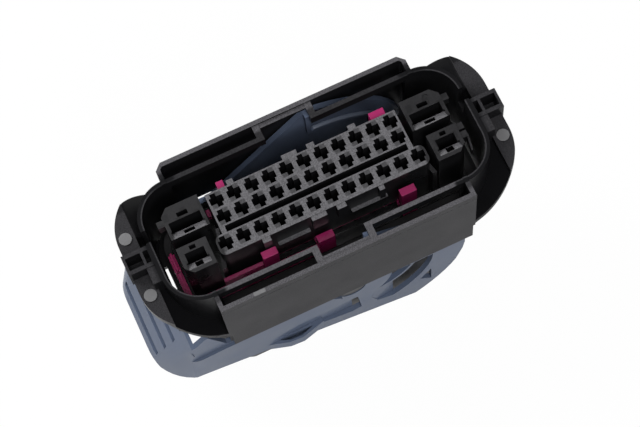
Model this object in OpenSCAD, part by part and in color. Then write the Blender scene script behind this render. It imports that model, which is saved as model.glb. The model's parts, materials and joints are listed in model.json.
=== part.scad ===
// Lever-assisted plug connector for a wiring harness, lying on its wire cover with the
// mating face up. X runs along the contact rows, Y across them and Z out of the face.
// Heights inside the sub-parts are counted from the mating face, so they are negative.

/* [Contact field] */
// Spacing of the contacts along a row
pitch = 4; // [3.8:0.1:4.4]
// Contacts in each of the two short rows, one less than in the long row
short_row_count = 11; // [9:1:13]
// Spacing between the two short rows
row_gap = 3.9; // [3.8:0.1:4.4]
// Spacing from the second short row to the long row
long_row_gap = 5.55; // [5.3:0.05:6.2]
// Distance of the second short row from the centre line
second_row_y = 1.15; // [0.9:0.05:1.4]
// Width of a contact cavity's main slot
cavity_w = 3; // [2.6:0.1:3.1]
// Height of a contact cavity's main slot
cavity_h = 1.6; // [1.4:0.1:1.7]
// Width of the two lobes that key a contact in its cavity
lobe_w = 1.2; // [0.9:0.1:1.3]
// Height of those lobes
lobe_h = 0.85; // [0.6:0.05:0.95]
// Shift of the lobes to the left and right of the cavity's middle
lobe_shift = 0.4; // [0.2:0.05:0.6]
// Wall around the cavities at the edge of a contact block
block_wall = 0.4; // [0.3:0.05:0.6]
// Wall on the near side of the long row
long_row_wall = 0.85; // [0.6:0.05:1.2]
// Depth of the polarising slot between the two blocks
key_slot_depth = 9; // [6:0.5:11]
// How far the locating tabs stand out of the contact blocks
tab_reach = 1.1; // [0.8:0.1:1.3]

/* [Power cavities] */
// Clear gap between the contact blocks and the power collars
power_gap = 1.4; // [1:0.1:2]
// Length and width of the collar of a wide power contact
wide_collar = [8.7, 7.2]; // [6:0.1:10]
// Length and width of the collar of a small power contact
small_collar = [6.7, 6.3]; // [5:0.1:8]
// Distance of the wide collars from the centre line
wide_collar_y = 4.5; // [4.3:0.1:4.9]
// Distance of the small collars from the centre line, on the other side
small_collar_y = 4.35; // [4.2:0.05:4.6]
// Length and width of a wide contact's slot
wide_slot = [7.1, 2]; // [1.6:0.1:7.4]
// Length and width of a small contact's slot
small_slot = [4.3, 2.1]; // [1.6:0.1:4.8]
// Chamfer on the outer corner of each collar
collar_chamfer = 1.6; // [1:0.1:2]

/* [Shroud] */
// Room for the header's wall beyond the ends of the contact field
header_gap_x = 4.1; // [3.4:0.1:5]
// Room for the header's wall beside the contact field
header_gap_y = 5.9; // [5.2:0.1:7]
// Thickness of the oval shroud wall
shroud_wall = 1; // [0.8:0.1:1.4]
// Outer corner radius of the oval shroud
shroud_r = 8.4; // [7.5:0.1:10]
// Depth of the shroud below the mating face
shroud_depth = 24.5; // [23.5:0.5:28]
// Height of the rail that is left above each side window
rail_h = 2.6; // [2:0.1:3.4]
// Height of the closed band below each side window
band_h = 3; // [2.5:0.1:4]
// Width of the open slot in each rail where the header's cam post enters
post_slot_w = 10.6; // [8:0.1:12]
// Width of the ribs that tie a rail to its guard wall
rib_w = 1.5; // [1:0.1:2]
// Height of those ribs
rib_h = 0.8; // [0.6:0.05:1]
// Thickness of the guard walls outside the lever arms
guard_wall = 1; // [0.8:0.1:1.5]
// Chamfer on the two far corners of the guard walls
guard_chamfer = 1.5; // [1:0.1:1.6]
// Width of the ledge that carries the contact carrier
ledge_w = 1.2; // [0.8:0.1:1.6]
// Thickness of that ledge
ledge_t = 1.2; // [1:0.1:1.6]

/* [End flanges] */
// How far the end flanges reach beyond the shroud
flange_reach = 5.5; // [4.5:0.1:7]
// Width of the flat bar along the outer edge of a flange
bar_w = 4.1; // [3.4:0.1:4.6]
// Drop of the flange below the mating face
flange_drop = 3.8; // [3.4:0.1:4.2]
// Thickness of the flange bar
bar_t = 2.2; // [1.6:0.1:3]
// Corner radius of the flange seen from the face
flange_r = 12; // [10:0.1:13]
// Depth at which the corner webs leave the flange bar
web_start = 4.4; // [4.2:0.1:5.6]
// Depth at which the corner webs meet the guard walls
web_drop = 16.5; // [14:0.5:19]
// Thickness of the corner webs
web_t = 1.6; // [1.2:0.1:2.2]
// Bulge of the corner webs from a straight slope
web_bulge = 0.4; // [0.2:0.1:1]
// Diameter of the ejector pips on the flange bars
pip_d = 2.8; // [2:0.1:3.4]
// Length and width of a clip box on a flange
clip_box = [6.2, 4.6]; // [4:0.1:7]
// Depth of a clip box
clip_box_h = 6; // [5:0.1:8]
// Wall between the pockets of a clip box and around them
clip_wall = 0.6; // [0.5:0.05:0.8]
// Length of the inner, narrow pocket of a clip box
clip_slit = 1.1; // [0.8:0.1:1.4]
// Width of the keyway beside each clip box
keyway_w = 2.8; // [2:0.1:3.4]

/* [Carrier base] */
// Depth of the plinth that the contact blocks stand on
plinth_drop = 17.8; // [17.6:0.1:18.2]
// Margin of the plinth around the contact field
plinth_margin = [0.5, 2.2]; // [0.4:0.1:2.6]
// Thickness of the flange that rests on the housing's ledge
carrier_flange_t = 1.5; // [1.2:0.1:2]
// Thickness of the floor that carries the contact cavities
carrier_floor_t = 2.7; // [2:0.1:3.2]
// Wall of the seal pocket at the back of the carrier
pocket_wall = 1.4; // [1.2:0.1:1.8]
// Thickness of the wire seal mat
wire_seal_t = 4; // [3:0.1:5]
// Thickness of the seal retainer
retainer_t = 2.8; // [2:0.1:3.4]
// Body thickness of the interface seal
seal_t = 0.9; // [0.7:0.1:1.1]
// Height of the lips on the seals
seal_lip = 0.6; // [0.4:0.1:0.7]

/* [Secondary lock] */
// Thickness of the lock plate
lock_t = 2; // [1.6:0.1:2.4]
// Travel of the lock from its assembly position to its locked position
lock_travel = 1.2; // [0.8:0.1:1.4]
// Depth of the upper face of the lock plate
lock_drop = 13.7; // [13.4:0.1:13.8]
// Width of the lock's rails
lock_rail_w = 1.7; // [1.4:0.1:1.8]
// Width of the split in the grip bar
lock_split = 0.9; // [0.6:0.1:1.4]
// Height of the posts on the near rail above the lock plate
near_post_h = 10.2; // [6:0.1:11]
// Height of the posts on the far rail above the lock plate
far_post_h = 12.7; // [8:0.1:13]

/* [Lever] */
// Thickness of a lever arm's web
arm_web = 1.2; // [1:0.1:1.5]
// Height of the cam walls on the inside of an arm
cam_wall_h = 1; // [0.8:0.1:1.4]
// Thickness of the cam walls
cam_wall_t = 1; // [0.8:0.1:1.2]
// Radius of the cam wall at the inner end of its groove
cam_inner_r = 19.5; // [18.8:0.1:20]
// Diameter of the pivot pins
pivot_d = 6; // [5:0.1:7]
// Distance of the pivot below the shroud
pivot_below = 4; // [3.8:0.1:5]
// Distance from the pivot to the inner edge of the handle
lever_reach = 37.6; // [37.5:0.1:40]
// Length of the handle along the connector
handle_l = 8.7; // [8:0.1:10]
// Wall thickness of the handle
handle_wall = 2.2; // [1.8:0.1:2.8]
// Number of grip grooves in the handle
grip_count = 3; // [2:1:4]
// Spacing of the grip grooves along the slope
grip_pitch = 5.4; // [4.6:0.1:5.8]
// Width of a grip groove
grip_w = 1.6; // [1:0.1:2]
// Depth of a grip groove
grip_depth = 1.1; // [0.7:0.1:1.4]
// Height of the raised pads on the outside of the arms
arm_pad_h = 0.7; // [0.4:0.1:0.9]
// How far the thumb ramps stand out of the arms
ramp_reach = 1.6; // [1.2:0.1:2.2]

/* [Wire cover] */
// Depth of the wire cover below the shroud
cover_depth = 29.5; // [28.5:0.5:34]
// Wall thickness of the cover
cover_wall = 1.2; // [1:0.1:1.3]
// Size of the wire outlet across and up
outlet = [17, 10]; // [9:0.5:18]
// Radius of the round end at the wire outlet
cover_nose_r = 28; // [27:0.1:30]
// Width of the snap hooks that hold the cover in the shroud
hook_w = 5; // [4:0.1:6]
// Thickness of those hooks
hook_t = 1; // [0.8:0.1:1.1]

/* [Clearances] */
// Side clearance of the lever arms in their guard pockets
arm_clear = 0.3; // [0.25:0.05:0.4]
// Radial clearance of the lever on its pivot pins
pivot_clear = 0.05; // [0.02:0.01:0.1]
// Clearance of pieces that drop into one another
drop_clear = 0.3; // [0.2:0.05:0.4]

/* [Hidden] */
$fn = 48;
eps = 0.02;

// Heights along Z
mating_face_h = shroud_depth + cover_depth;
pivot_z = -(shroud_depth + pivot_below);
window_low = -(shroud_depth - band_h);
ledge_top = -(shroud_depth - ledge_t);
carrier_flange_top = ledge_top + carrier_flange_t;
carrier_floor_low = ledge_top - carrier_floor_t;
retainer_top = carrier_floor_low - wire_seal_t;
carrier_low = retainer_top - retainer_t;

// Contact field
first_row_y = second_row_y + row_gap;
long_row_y = second_row_y - long_row_gap;
cavity_reach = cavity_h / 2 + lobe_h;
block_half = (short_row_count - 1) / 2 * pitch + cavity_w / 2 + block_wall;
long_half = short_row_count / 2 * pitch + cavity_w / 2 + block_wall;
block_far_y = first_row_y + cavity_reach + block_wall;
block_near_y = second_row_y - cavity_reach - block_wall;
long_far_y = long_row_y + cavity_reach + block_wall;
long_near_y = long_row_y - cavity_reach - long_row_wall;
wide_collar_x = block_half + power_gap + wide_collar.x / 2;
small_collar_x = long_half + power_gap + small_collar.x / 2;
lead_in_drop = 1.2;
ejector_mark = [1.35, 2.2];
ejector_mark_d = 1.6;
ejector_mark_depth = 0.25;
field_half = max(wide_collar_x + wide_collar.x / 2, small_collar_x + small_collar.x / 2);
collar_latch = [1.5, 1.5, 2.5];

// Shroud and lever pockets
shroud_in = [field_half + header_gap_x, block_far_y + header_gap_y];
shroud_out = shroud_in + [shroud_wall, shroud_wall];
shroud_mid = (shroud_in + shroud_out) / 2;
cam_r = -pivot_z - rib_h - arm_clear;
arm_t = arm_web + cam_wall_h;
arm_in = shroud_out.y + arm_clear;
arm_out = arm_in + arm_t;
web_in = arm_out - arm_web;
guard_in = arm_out + arm_clear;
guard_out = guard_in + guard_wall;
pocket_half = cam_r + 0.6;
pocket_end = pocket_half + guard_wall;
window_half = pocket_half - 0.7;
rail_top = 0;
guard_top = 0.3;
rib_x = post_slot_w / 2 + rib_w / 2;
parting_drop = 1.7;
parting_groove = 0.3;

// End flanges
flange_out = shroud_out.x + flange_reach;
flange_half_w = guard_out - 0.15;
bar_in = flange_out - bar_w;
pip_x = flange_out - 2;
pip_y = 6.8;
pip_h = 0.25;
clip_x = flange_out - clip_box.x / 2 + 0.4;
clip_low = -clip_box_h;
clip_floor = 1;
clip_rest_w = 3.8;

// Carrier base and seals
plinth = [field_half + plinth_margin.x, block_far_y + plinth_margin.y];
plinth_r = 4;
carrier_flange = shroud_in - [drop_clear, drop_clear];
carrier_flange_r = shroud_r - shroud_wall - drop_clear;
drain = [1.1, 4];
back_wall = [plinth.x + 0.6, plinth.y + 1.6];
back_r = 5;
mat = back_wall - [pocket_wall + drop_clear, pocket_wall + drop_clear];
seal_ease = 0.1;
lug_w = 4;
lug_x = 4.5 * pitch;
small_wire_r = 0.95;
wide_wire_r = 2.3;

// Secondary lock
lock_slot_half = pitch * 4.5;
lock_half = lock_slot_half - drop_clear;
lock_rail_half = block_half - 0.4;
near_rail_end = -0.5;
far_rail_y = block_far_y + drop_clear;
near_rail_y = long_near_y - tab_reach - drop_clear;
end_bar_x = field_half + 0.6;
end_bar_y = 3;
end_bar_w = 1.4;
end_bar_split_y = -1.55;
lock_slot_top = -(lock_drop - drop_clear);
lock_slot_low = -(lock_drop + lock_t + lock_travel + drop_clear);

// Lever
handle_out = lever_reach + handle_l;
handle_half_w = arm_out + arm_pad_h;
handle_r = 12.4;
grip_half_w = 9.2;
grip_start = 1.8;
handle_top = [-lever_reach, pivot_z + 9.2];
handle_inner = handle_top + [0.8, 0];
handle_foot = [-lever_reach + 0.4, pivot_z - 11.8];
handle_edge = [-handle_out + 0.5, pivot_z - 7.8];
grip_slope = atan2(handle_top.y - handle_edge.y, handle_top.x - handle_edge.x);
handle_nose = [[-handle_out, pivot_z - 9.1], [-handle_out + 0.7, pivot_z - 10.4]];
handle_lip = [-lever_reach - 4.4, pivot_z - 11];
hub_r = 9.3;
rim_r = 19.5;
window_rib_t = 0.8;
window_rib_slope = 0.105;
cam_slope = 0.097;
cam_start = 74;
cam_end = 10;
finger_x = 4.4;
cover_end_r = lever_reach - 2;

// Wire cover
cover = [back_wall.x + cover_wall + drop_clear, shroud_out.y - drop_clear];
cover_r = 8;
nose_z = pivot_z - 6;
collar_low = carrier_low - cover_wall - 0.6;
outlet_z = nose_z - 9.5;
hook_x = 3.5 * pitch;
hook_in = shroud_in.y - 0.1 - hook_t;
hook_low = -shroud_depth - 4;
hook_head = 0.9;

HOUSING_COLOR = "#26272a";
CARRIER_COLOR = "#2f3033";
LEVER_COLOR = "#5d6877";
LOCK_COLOR = "#c8285f";
SEAL_COLOR = "#2b2a2d";
WIRE_SEAL_COLOR = "#8f4a34";
COVER_COLOR = "#2a2b2e";

// Points on a circle, counted anticlockwise with X to the right
function arc(centre, r, from, to, steps = 10) =
    [for (i = [0:steps]) let (a = from + (to - from) * i / steps) centre + r * [cos(a), sin(a)]];

// Points on a spiral about the pivot whose radius grows by slope for each degree
function spiral(r, slope, from, to, steps = 12) =
    [for (i = [0:steps]) let (a = (to - from) * i / steps)
        [0, pivot_z] + (r + slope * a) * [cos(from + a), sin(from + a)]];

// Points of a shallow arc from one point to another that bulges to its right
function bowed(from, to, bulge, steps = 8) =
    let (along = to - from, side = [along.y, -along.x] / norm(along))
    [for (i = [0:steps]) let (t = i / steps) from + along * t + side * bulge * 4 * t * (1 - t)];

// Lifts a sub-part drawn below the mating face to its place above the floor
module from_face() translate([0, 0, mating_face_h]) children();

// Extrudes a plan outline between two heights
module slab(low, high) translate([0, 0, low]) linear_extrude(high - low) children();

// Extrudes a side view outline between two distances along Y
module side_slab(near, far)
    translate([0, far, 0]) rotate([90, 0, 0]) linear_extrude(far - near) children();

// Repeats a shape at both ends, mirrored about the middle of the rows
module both_ends() for (side = [0, 1]) mirror([side, 0, 0]) children();

// Repeats a shape on both long sides
module both_sides() for (side = [0, 1]) mirror([0, side, 0]) children();

// Rounded rectangle given by its half sizes
module rounded(half, r) {
    square([2 * half.x - 2 * r, 2 * half.y], center = true);
    square([2 * half.x, 2 * half.y - 2 * r], center = true);
    for (x = [-1, 1], y = [-1, 1])
        translate([x * (half.x - r), y * (half.y - r)]) circle(r);
}

// Ring between a rounded rectangle and the same shape grown by a wall
module rounded_ring(half, r, wall) difference() {
    rounded(half + [wall, wall], r + wall);
    rounded(half, r);
}

// Keyed outline of one contact cavity
module cavity_outline() {
    square([cavity_w, cavity_h], center = true);
    translate([-lobe_shift - lobe_w / 2, 0]) square([lobe_w, cavity_reach]);
    translate([lobe_shift - lobe_w / 2, -cavity_reach]) square([lobe_w, cavity_reach]);
}

// Places a shape at every small contact
module at_contacts() {
    for (i = [0:short_row_count - 1], y = [first_row_y, second_row_y])
        translate([(i - (short_row_count - 1) / 2) * pitch, y]) children();
    for (i = [0:short_row_count])
        translate([(i - short_row_count / 2) * pitch, long_row_y]) children();
}

// Side view of a corner web, from below the flange bar down to the guard wall
module web_profile() {
    top = bowed([bar_in + 1, -web_start], [pocket_end - guard_wall / 2, -web_drop], -web_bulge);
    low = [for (p = top) p - [0, web_t]];
    polygon(concat(top, [for (i = [len(low) - 1:-1:0]) low[i]]));
}

// Flange bar and corner webs of one end, outside the shroud
module end_flange() difference() {
    intersection() {
        union() {
            side_slab(-guard_out, guard_out) web_profile();
            translate([bar_in, -guard_out, -flange_drop - bar_t]) cube([bar_w, 2 * guard_out, bar_t]);
        }
        slab(-2 * web_drop, 0) rounded([flange_out, flange_half_w], flange_r);
    }
    slab(-2 * web_drop, 1) rounded(shroud_mid, shroud_r - shroud_wall / 2);
}

// Clip box of one end and the rest block on its near side
module clip_body() {
    inner_x = clip_x - clip_box.x / 2;
    translate([inner_x, -clip_box.y / 2, clip_low]) cube([clip_box.x, clip_box.y, clip_box_h]);
    translate([inner_x, -clip_box.y / 2 - clip_rest_w, clip_low])
        cube([bar_in - inner_x + clip_wall, clip_rest_w + eps, clip_box_h - 0.2]);
}

// Two blind pockets in a clip box and the keyway on its far side
module clip_cuts() {
    inner_x = clip_x - clip_box.x / 2 + clip_wall;
    outer_x = inner_x + clip_slit + clip_wall;
    pocket_w = clip_box.y - 3 * clip_wall;
    outer_l = clip_x + clip_box.x / 2 - clip_wall - outer_x;
    for (pocket = [[inner_x, clip_slit], [outer_x, outer_l]])
        translate([pocket[0], -pocket_w / 2, clip_low + clip_floor])
            cube([pocket[1], pocket_w, clip_box_h]);
    translate([shroud_in.x - 0.5, clip_box.y / 2 + clip_wall / 2, clip_low - 1])
        cube([bar_in - shroud_in.x + 0.5, keyway_w, clip_box_h + 3]);
}

// Plan of a guard wall or of the pocket inside it, with its far corners cut back
function guard_plan(half, low, high, chamfer) =
    concat([[-half, low], [half, low]],
           chamfer > 0 ? [[half, high - chamfer], [half - chamfer, high],
                          [chamfer - half, high], [-half, high - chamfer]]
                       : [[half, high], [-half, high]]);

// Guard pocket of one long side, with its end walls and tie ribs
module guard_pocket(chamfer) {
    inner_chamfer = max(chamfer - guard_wall, 0);
    difference() {
        slab(-shroud_depth, guard_top)
            polygon(guard_plan(pocket_end, shroud_in.y, guard_out, chamfer));
        slab(-shroud_depth - 1, guard_top + 1)
            polygon(guard_plan(pocket_half, shroud_in.y - 1, guard_in, inner_chamfer));
        both_ends() translate([pocket_end - 0.5, guard_in, -shroud_depth - 1])
            cube([1, guard_out, shroud_depth + 1 - web_drop - web_t]);
        translate([-pocket_end - 1, guard_out - parting_groove, -parting_drop - parting_groove])
            cube([2 * pocket_end + 2, 1, parting_groove]);
    }
    both_ends() translate([rib_x - rib_w / 2, shroud_in.y, -rib_h])
        cube([rib_w, guard_in - shroud_in.y + eps, rib_h + rail_top]);
    translate([-rib_x, guard_in - 1, -rib_h]) cube([2 * rib_x, 1 + eps, rib_h + rail_top - 0.2]);
}

// Ways for the two cover hooks of one long side, through whatever they pass
module hook_ways() both_ends()
    translate([hook_x - hook_w / 2 - drop_clear, hook_in - drop_clear, -shroud_depth - 1])
        cube([hook_w + 2 * drop_clear, shroud_in.y - hook_in + drop_clear, shroud_depth]);

// Windows in the shroud wall of one long side, and the open slot in its rail
module side_window() {
    translate([-window_half, shroud_in.y - 1, window_low])
        cube([2 * window_half, shroud_wall + 1 + eps, -window_low - rail_h]);
    translate([-post_slot_w / 2, shroud_in.y - 1, window_low])
        cube([post_slot_w, shroud_wall + 1 + eps, -window_low + 1]);
}

module outer_housing() color(HOUSING_COLOR) from_face() difference() {
    union() {
        difference() {
            slab(-shroud_depth, rail_top) rounded_ring(shroud_in, shroud_r - shroud_wall, shroud_wall);
            both_sides() side_window();
        }
        guard_pocket(guard_chamfer);
        mirror([0, 1, 0]) guard_pocket(0);
        both_sides() difference() {
            translate([-window_half, shroud_in.y - ledge_w, -shroud_depth])
                cube([2 * window_half, ledge_w + shroud_wall / 2, ledge_t]);
            hook_ways();
        }
        both_ends() {
            end_flange();
            difference() {
                clip_body();
                slab(-shroud_depth, 1) rounded(shroud_mid, shroud_r - shroud_wall / 2);
            }
        }
        for (spot = [[-pip_x, pip_y], [-pip_x, -pip_y], [pip_x, -pip_y]])
            translate([spot.x, spot.y, -flange_drop - eps]) cylinder(d = pip_d, h = pip_h);
    }
    both_ends() clip_cuts();
}

// Locating tabs on the edges of the contact blocks: position along X and width
far_tabs = [[-15.9, 1.5], [-2.2, 3.4], [2.7, 1.7], [12.2, 1.7]];
near_tabs = [[-14.1, 1.8], [-2.2, 3.4], [2.9, 2.1], [12.1, 1.2]];
tab_h = 5;
// Snap ridges on the near side of the long row: start and end along X
near_ridges = [[-11.9, -4.6], [5, 13.3]];

module block_tabs() {
    for (tab = far_tabs)
        translate([tab[0] * pitch / 4 - tab[1] / 2, block_far_y - eps, -tab_h])
            cube([tab[1], tab_reach, tab_h - 0.1]);
    for (tab = near_tabs)
        translate([tab[0] * pitch / 4 - tab[1] / 2, long_near_y - tab_reach, -tab_h])
            cube([tab[1], tab_reach + eps, tab_h - 0.1]);
    for (ridge = near_ridges)
        translate([ridge[0] * pitch / 4, long_near_y - 0.9, -tab_h - 2])
            cube([(ridge[1] - ridge[0]) * pitch / 4, 0.9 + eps, 1]);
}

// Slanted partition between the contact blocks and the power collars of one end
module partition() slab(-plinth_drop - eps, -5) polygon([
    [block_half - 0.1, block_near_y + 2], [block_half + 0.7, block_near_y + 2],
    [long_half + power_gap - 0.5, long_near_y - 0.8], [long_half - 0.1, long_near_y - 0.8]]);

// Plan of a power collar with its outer far corner cut back
module collar_outline(size) difference() {
    square(size, center = true);
    translate(size / 2) rotate(45) square(sqrt(2) * collar_chamfer, center = true);
}

// Collars of the two power contacts at one end
module power_collars() {
    slab(-plinth_drop - eps, 0) {
        translate([wide_collar_x, wide_collar_y]) collar_outline(wide_collar);
        translate([small_collar_x, -small_collar_y]) mirror([0, 1]) collar_outline(small_collar);
    }
    translate([wide_collar_x + wide_collar.x / 2 - eps, wide_collar_y, -collar_latch.z - 0.3])
        cube(collar_latch);
}

// Two latches on the small collar at the outlet end, with a thin blade on the nearer one
module outlet_end_latches() translate([small_collar_x + small_collar.x / 2, -small_collar_y]) {
    blade_x = collar_latch.x - 0.3;
    for (y = [-0.5, 1.5]) translate([-eps, y, -collar_latch.z - 0.5]) cube(collar_latch);
    slab(-collar_latch.z - 0.9, -0.6)
        polygon([[blade_x, 0], [blade_x + 0.4, 0], [blade_x - 0.2, -3.7], [blade_x - 0.6, -3.7]]);
}

// Sloping lead-in along the near edge of a power slot
module lead_in(width, from_y, to_y) rotate([90, 0, 90]) linear_extrude(width, center = true)
    polygon([[from_y, 1], [from_y, 0], [to_y, -lead_in_drop], [to_y, 1]]);

// Slots and lead-ins of the two power contacts at one end
module power_cuts() {
    key = [2.4, 1];
    key_depth = 8;
    through = -carrier_floor_low + 2;
    translate([wide_collar_x, wide_collar_y]) {
        translate([0, -0.9]) slab(-through, 1) square(wide_slot, center = true);
        translate([0, -2.75]) {
            lead_in(wide_slot.x + 0.5, -0.85, 0.85 + eps);
            slab(-key_depth, 1) square(key, center = true);
        }
        translate([0, 1.1]) slab(-key_depth, 1) square(key, center = true);
    }
    translate([small_collar_x, -small_collar_y]) {
        translate([0, 0.35]) slab(-through, 1) square(small_slot, center = true);
        translate([0, -1.5]) {
            lead_in(small_slot.x + 0.8, -0.8, 0.8 + eps);
            slab(-key_depth, 1) square([1.7, 1.4], center = true);
        }
        translate([0, 2.2]) slab(-key_depth, 1) square([1.4, 0.9], center = true);
    }
}

module contact_carrier() color(CARRIER_COLOR) from_face() difference() {
    union() {
        slab(-plinth_drop - eps, 0) {
            translate([-block_half, long_far_y]) square([2 * block_half, block_far_y - long_far_y]);
            translate([0, (long_far_y + long_near_y) / 2])
                rounded([long_half, (long_far_y - long_near_y) / 2 + eps], 1.4);
        }
        block_tabs();
        both_ends() {
            power_collars();
            partition();
        }
        outlet_end_latches();
        slab(carrier_floor_low, -plinth_drop) rounded(plinth, plinth_r);
        // Flange on the ledge, with a drain gap along the near part of its handle end
        difference() {
            slab(ledge_top, carrier_flange_top) rounded(carrier_flange, carrier_flange_r);
            both_sides() hook_ways();
            translate([-shroud_in.x, -shroud_in.y, ledge_top - 1])
                cube([drain.x, shroud_in.y + drain.y, carrier_flange_t + 2]);
        }
        slab(carrier_floor_low, ledge_top + eps) rounded(back_wall, back_r);
        difference() {
            slab(carrier_low, carrier_floor_low + eps)
                rounded_ring(back_wall - [pocket_wall, pocket_wall], back_r - pocket_wall, pocket_wall);
            at_lugs() translate([-lug_w / 2 - 0.2, -1, carrier_low - 1])
                cube([lug_w + 0.4, 2 * pocket_wall + 1, retainer_t]);
        }
    }
    slab(carrier_floor_low - 1, 1) at_contacts() cavity_outline();
    both_ends() power_cuts();
    translate([wide_collar_x + ejector_mark.x, wide_collar_y + ejector_mark.y, -ejector_mark_depth])
        cylinder(d = ejector_mark_d, h = 1);
    translate([-block_half + block_wall + 0.7, long_far_y, -key_slot_depth])
        cube([2 * (block_half - block_wall - 0.7), block_near_y - long_far_y, key_slot_depth + 1]);
    translate([-lock_slot_half, -2 * plinth.y, lock_slot_low])
        cube([2 * lock_slot_half, 4 * plinth.y, lock_slot_top - lock_slot_low]);
}

// Posts of the lock: position along X, width and height above the plate
near_posts = [[-14.6, 3.4, near_post_h], [-2.1, 3.8, near_post_h / 2], [17.2, 3.5, near_post_h]];
far_posts = [[-17.9, 1.6, far_post_h], [18.4, 3.4, far_post_h]];
// Fence on the near rail: start and end along X and height above the plate
lock_fence = [-long_half - power_gap, -block_half + 5.5, 4.7];

// Plan of the lock: plate, necks to the near posts, both rails and the grip bar at the handle end
module lock_outline() {
    plate_y = long_near_y + 0.6;
    translate([-lock_half, plate_y]) square([2 * lock_half, far_rail_y - plate_y + eps]);
    for (post = near_posts) {
        left = max(post[0] * pitch / 4 - post[1] / 2, -lock_half);
        right = min(post[0] * pitch / 4 + post[1] / 2, lock_half);
        translate([left, near_rail_y - eps]) square([right - left, plate_y - near_rail_y + 2 * eps]);
    }
    translate([-block_half - power_gap / 2, far_rail_y])
        square([block_half + power_gap / 2 + lock_rail_half, lock_rail_w]);
    translate([-end_bar_x - eps, near_rail_y - lock_rail_w])
        square([end_bar_x + near_rail_end, lock_rail_w]);
    translate([-end_bar_x - end_bar_w, near_rail_y - lock_rail_w])
        square([end_bar_w, end_bar_y - near_rail_y + lock_rail_w]);
}

module secondary_lock() color(LOCK_COLOR) from_face() {
    low = -lock_drop - lock_t;
    window_w = pitch - 0.9;
    difference() {
        union() {
            slab(low, -lock_drop) lock_outline();
            translate([-end_bar_x - 2 * end_bar_w / 3, near_rail_y, -lock_drop - eps])
                cube([end_bar_w / 3, end_bar_y - near_rail_y, 1.2]);
            translate([lock_fence[0], near_rail_y - lock_rail_w / 2, low])
                cube([lock_fence[1] - lock_fence[0], lock_rail_w / 2, lock_t + lock_fence[2]]);
            for (post = near_posts)
                translate([post[0] * pitch / 4 - post[1] / 2, near_rail_y - lock_rail_w, low])
                    cube([post[1], lock_rail_w, lock_t + post[2]]);
            for (post = far_posts)
                translate([post[0] * pitch / 4 - post[1] / 2, far_rail_y, low])
                    cube([post[1], lock_rail_w, lock_t + post[2]]);
        }
        translate([-end_bar_x - end_bar_w - 1, end_bar_split_y - lock_split / 2, low + lock_t / 2])
            cube([end_bar_w + 2, lock_split, 2 * lock_t]);
        for (i = [-4:4]) translate([i * pitch - window_w / 2, block_near_y, low - 1])
            cube([window_w, block_far_y - block_near_y, lock_t + 2]);
        for (i = [-4:3]) translate([(i + 0.5) * pitch - window_w / 2, long_near_y + 1.2, low - 1])
            cube([window_w, long_far_y - long_near_y - 1.2, lock_t + 2]);
    }
}

// Ring seal that the header's wall closes on, with three lips around its outside
module interface_seal() color(SEAL_COLOR) from_face() {
    top = -plinth_drop - 0.1;
    lips = 3;
    lip_pitch = (top - carrier_flange_top) / lips;
    bore = plinth + [seal_ease, seal_ease];
    slab(carrier_flange_top, top) rounded_ring(bore, plinth_r + seal_ease, seal_t);
    for (i = [0:lips - 1])
        slab(top - i * lip_pitch - lip_pitch / 2, top - i * lip_pitch)
            rounded_ring(bore, plinth_r + seal_ease, seal_t + seal_lip);
}

// Holes for every wire, given the clearance around each
module wire_holes(clear) {
    at_contacts() circle(small_wire_r + clear);
    both_ends() {
        translate([wide_collar_x, wide_collar_y - 0.9]) circle(wide_wire_r + clear);
        translate([small_collar_x, -small_collar_y + 0.35]) circle(wide_wire_r + clear);
    }
}

// Places a shape at the four snap lugs of the retainer, with Y pointing out of the pocket
module at_lugs() both_ends() both_sides()
    translate([lug_x, back_wall.y - pocket_wall, 0]) children();

module wire_seal() color(WIRE_SEAL_COLOR) from_face() {
    slab(retainer_top, carrier_floor_low) difference() {
        rounded(mat, back_r - pocket_wall - drop_clear);
        wire_holes(0);
    }
}

module seal_retainer() color(CARRIER_COLOR) from_face() {
    slab(carrier_low, retainer_top) difference() {
        rounded(mat, back_r - pocket_wall - drop_clear);
        wire_holes(0.35);
    }
    at_lugs() translate([-lug_w / 2, -1, carrier_low])
        cube([lug_w, 1 + 0.7 * pocket_wall, retainer_t - 1.3]);
}

// Side view of the wire cover: a full-length collar round the back of the carrier above a
// bowl, whose handle end is round about the pivot so that the handle can swing past it
module cover_side(inset) intersection() {
    translate([-cover.x + inset, -shroud_depth - cover_depth + inset])
        square([2 * cover.x - 2 * inset, cover_depth - inset]);
    union() {
        polygon(concat([[1, pivot_z]], arc([0, pivot_z], cover_end_r - inset, 90, 270, 20)));
        polygon(concat([[-1, nose_z]], arc([0, nose_z], cover_nose_r - inset, -90, 90, 20)));
        translate([0, collar_low + inset]) square([2 * cover.x, -collar_low]);
    }
}

// Cover body with all its faces moved in by a wall
module cover_body(inset) intersection() {
    side_slab(-2 * cover.y, 2 * cover.y) cover_side(inset);
    slab(-shroud_depth - cover_depth - 1, -shroud_depth + 1)
        rounded(cover - [inset, inset], cover_r - inset);
}

// Wire outlet through the round end of the bowl
module outlet_way() rotate([90, 0, 90]) linear_extrude(cover.x) translate([0, outlet_z])
    rounded(outlet / 2, 3);

module wire_cover() color(COVER_COLOR) from_face() {
    difference() {
        cover_body(0);
        cover_body(cover_wall);
        slab(-shroud_depth - eps, -shroud_depth + 2) square(4 * cover, center = true);
        outlet_way();
    }
    both_sides() {
        translate([0, cover.y - cover_wall / 2, pivot_z]) rotate([-90, 0, 0])
            cylinder(d = pivot_d, h = arm_out - arm_clear / 2 - cover.y + cover_wall / 2);
        both_ends() translate([hook_x - hook_w / 2, 0, 0]) {
            translate([0, hook_in, hook_low]) cube([hook_w, hook_t, window_low + hook_head - hook_low]);
            translate([0, hook_in, window_low]) cube([hook_w, hook_t + hook_head, hook_head]);
        }
    }
}

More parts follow.
